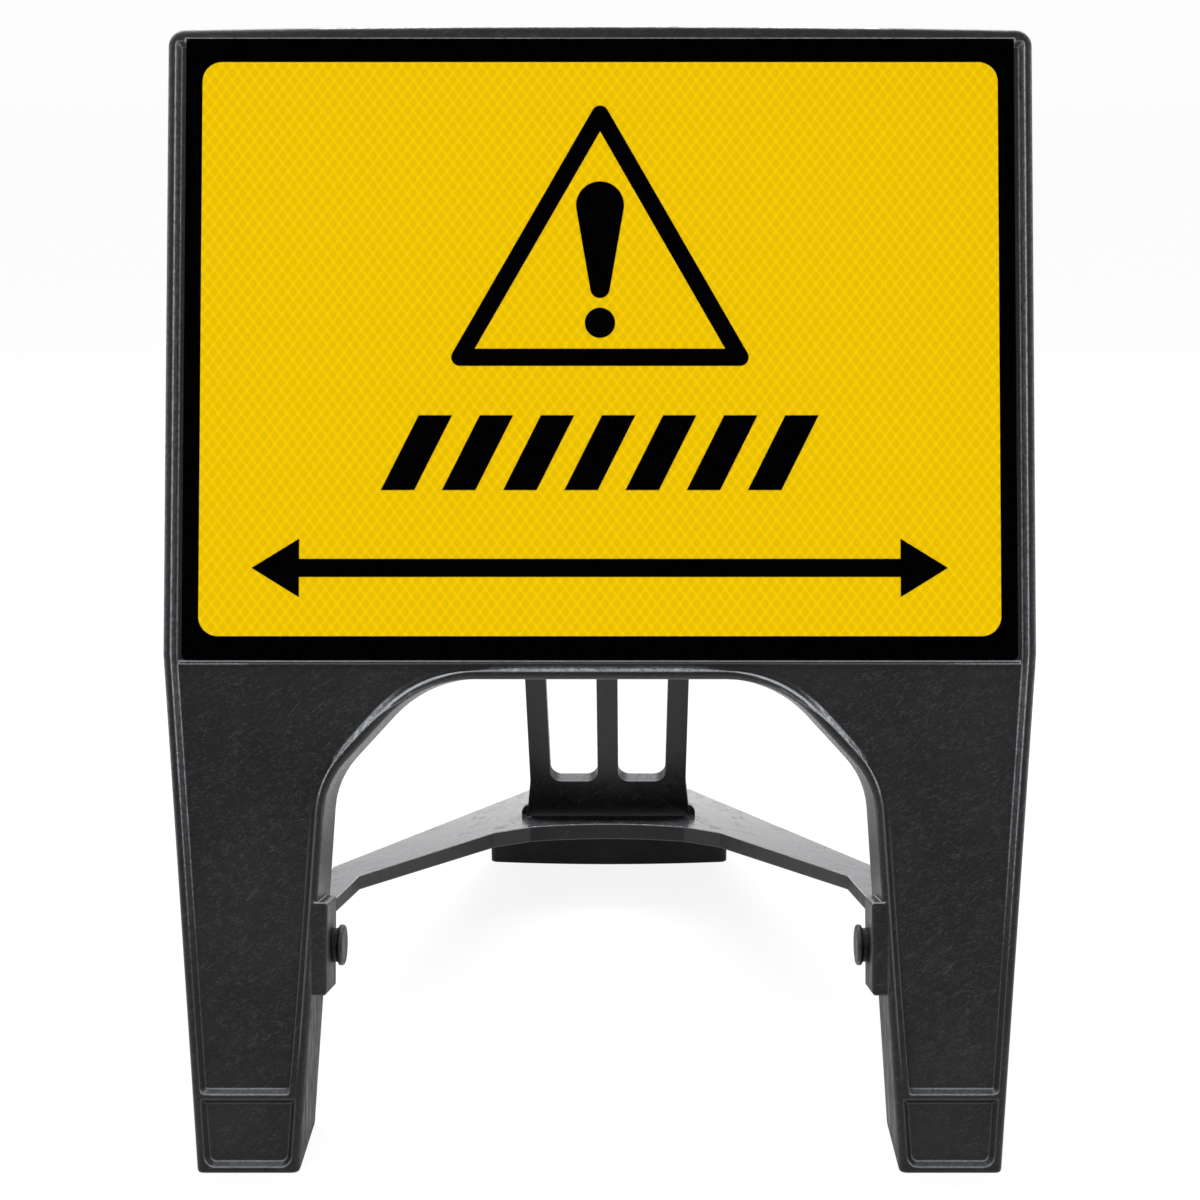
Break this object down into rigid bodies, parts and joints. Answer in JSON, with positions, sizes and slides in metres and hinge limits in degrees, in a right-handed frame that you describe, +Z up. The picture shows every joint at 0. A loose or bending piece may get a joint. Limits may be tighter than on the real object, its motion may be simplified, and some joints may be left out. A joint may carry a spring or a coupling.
{
  "type": "folding roadworks sign",
  "caption": "Free-standing folding roadworks sign: moulded black frame with a yellow reflective warning plate, a hinged rear strut and a hinged brace that carries the rear foot.",
  "frame": {"origin": "on the ground, under the middle of the object's box", "axes": "+X to the reader's right, +Y away from the reader, +Z up"},
  "size_m": [0.627, 0.6256, 0.7738],
  "materials": {
    "moulded_black": "moulded black polyethylene with a fine grain and lighter rubbed edges",
    "plate_plastic": "grey extruded plastic sheet",
    "foam_tape": "black foam tape",
    "black_film": "smooth black sign film",
    "yellow_reflective": "yellow prismatic reflective film with a fine diamond lattice",
    "plated_steel": "bright zinc plating",
    "dark_steel": "blackened steel",
    "foot_rubber": "black rubber"
  },
  "bodies": {
    "frame": {"front_frame": "moulded_black", "plate_tape": "foam_tape", "sign_plate": "plate_plastic", "border_film": "black_film", "reflective_face": "yellow_reflective", "triangle_symbol": "black_film", "exclamation_bar": "black_film", "exclamation_dot": "black_film", "hazard_slashes": "black_film", "double_arrow": "black_film", "strut_hinge_pin": "plated_steel", "left_hinge_cap": "plated_steel", "right_hinge_cap": "plated_steel", "left_pivot_pin": "moulded_black", "right_pivot_pin": "moulded_black", "left_pivot_clip": "plated_steel", "right_pivot_clip": "plated_steel"},
    "strut": {"rear_strut": "moulded_black"},
    "brace": {"brace": "moulded_black", "rear_foot": "foot_rubber", "rear_foot_screws": "dark_steel"}
  },
  "joints": [
    {"name": "strut_fold", "type": "hinge", "parent": "frame", "child": "strut", "pos_m": [0, -0.0064, 0.71321], "axis": [1, 0, 0], "range_deg": [-29, 0]},
    {"name": "brace_drop", "type": "hinge", "parent": "frame", "child": "brace", "pos_m": [0, -0.23015, 0.13646], "axis": [1, 0, 0], "range_deg": [-50, 0]}
  ],
  "couplings": [
    {"joint": "brace_drop", "follows": "strut_fold", "ratio": 1.7241}
  ]
}
